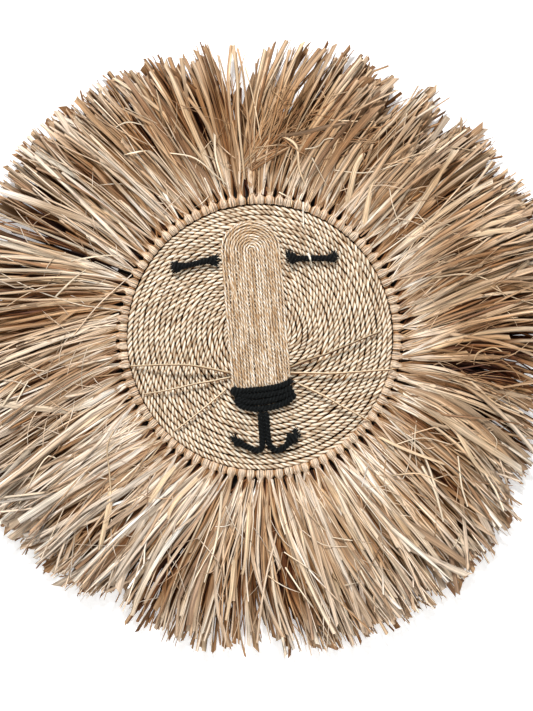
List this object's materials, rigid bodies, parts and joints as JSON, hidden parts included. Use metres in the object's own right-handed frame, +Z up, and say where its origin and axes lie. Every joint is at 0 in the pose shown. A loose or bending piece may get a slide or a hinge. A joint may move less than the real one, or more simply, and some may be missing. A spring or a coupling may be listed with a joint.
{
  "type": "lion wall hanging",
  "caption": "Round lion face of coiled rope with a wide raffia mane, a twine nose bridge, black cord eyes, nose and mouth, and straw whiskers; hangs flat on a wall.",
  "frame": {"origin": "centre of the rope disc's flat back, on the wall", "axes": "+Y into the wall, the face looks along -Y, +X to the viewer's right, +Z up"},
  "size_m": [0.5995, 0.0278, 0.5929],
  "materials": {
    "seagrass_rope": "twisted seagrass rope, matt with pale straw highlights",
    "raffia": "dry split raffia leaf, matt to slightly silky, tan to brown",
    "jute_twine": "matt jute twine, slightly hairy",
    "black_cord": "matt black twisted cotton cord",
    "straw": "stiff dry straw, slightly glossy"
  },
  "bodies": {
    "root": {"face_disc": "seagrass_rope", "raffia_mane": "raffia", "nose_bridge": "jute_twine", "nose": "black_cord", "mouth_left": "black_cord", "mouth_right": "black_cord", "eye_left": "black_cord", "eye_right": "black_cord", "whisker_left_1": "straw", "whisker_left_2": "straw", "whisker_left_3": "straw", "whisker_right_1": "straw", "whisker_right_2": "straw", "whisker_right_3": "straw"}
  },
  "joints": []
}
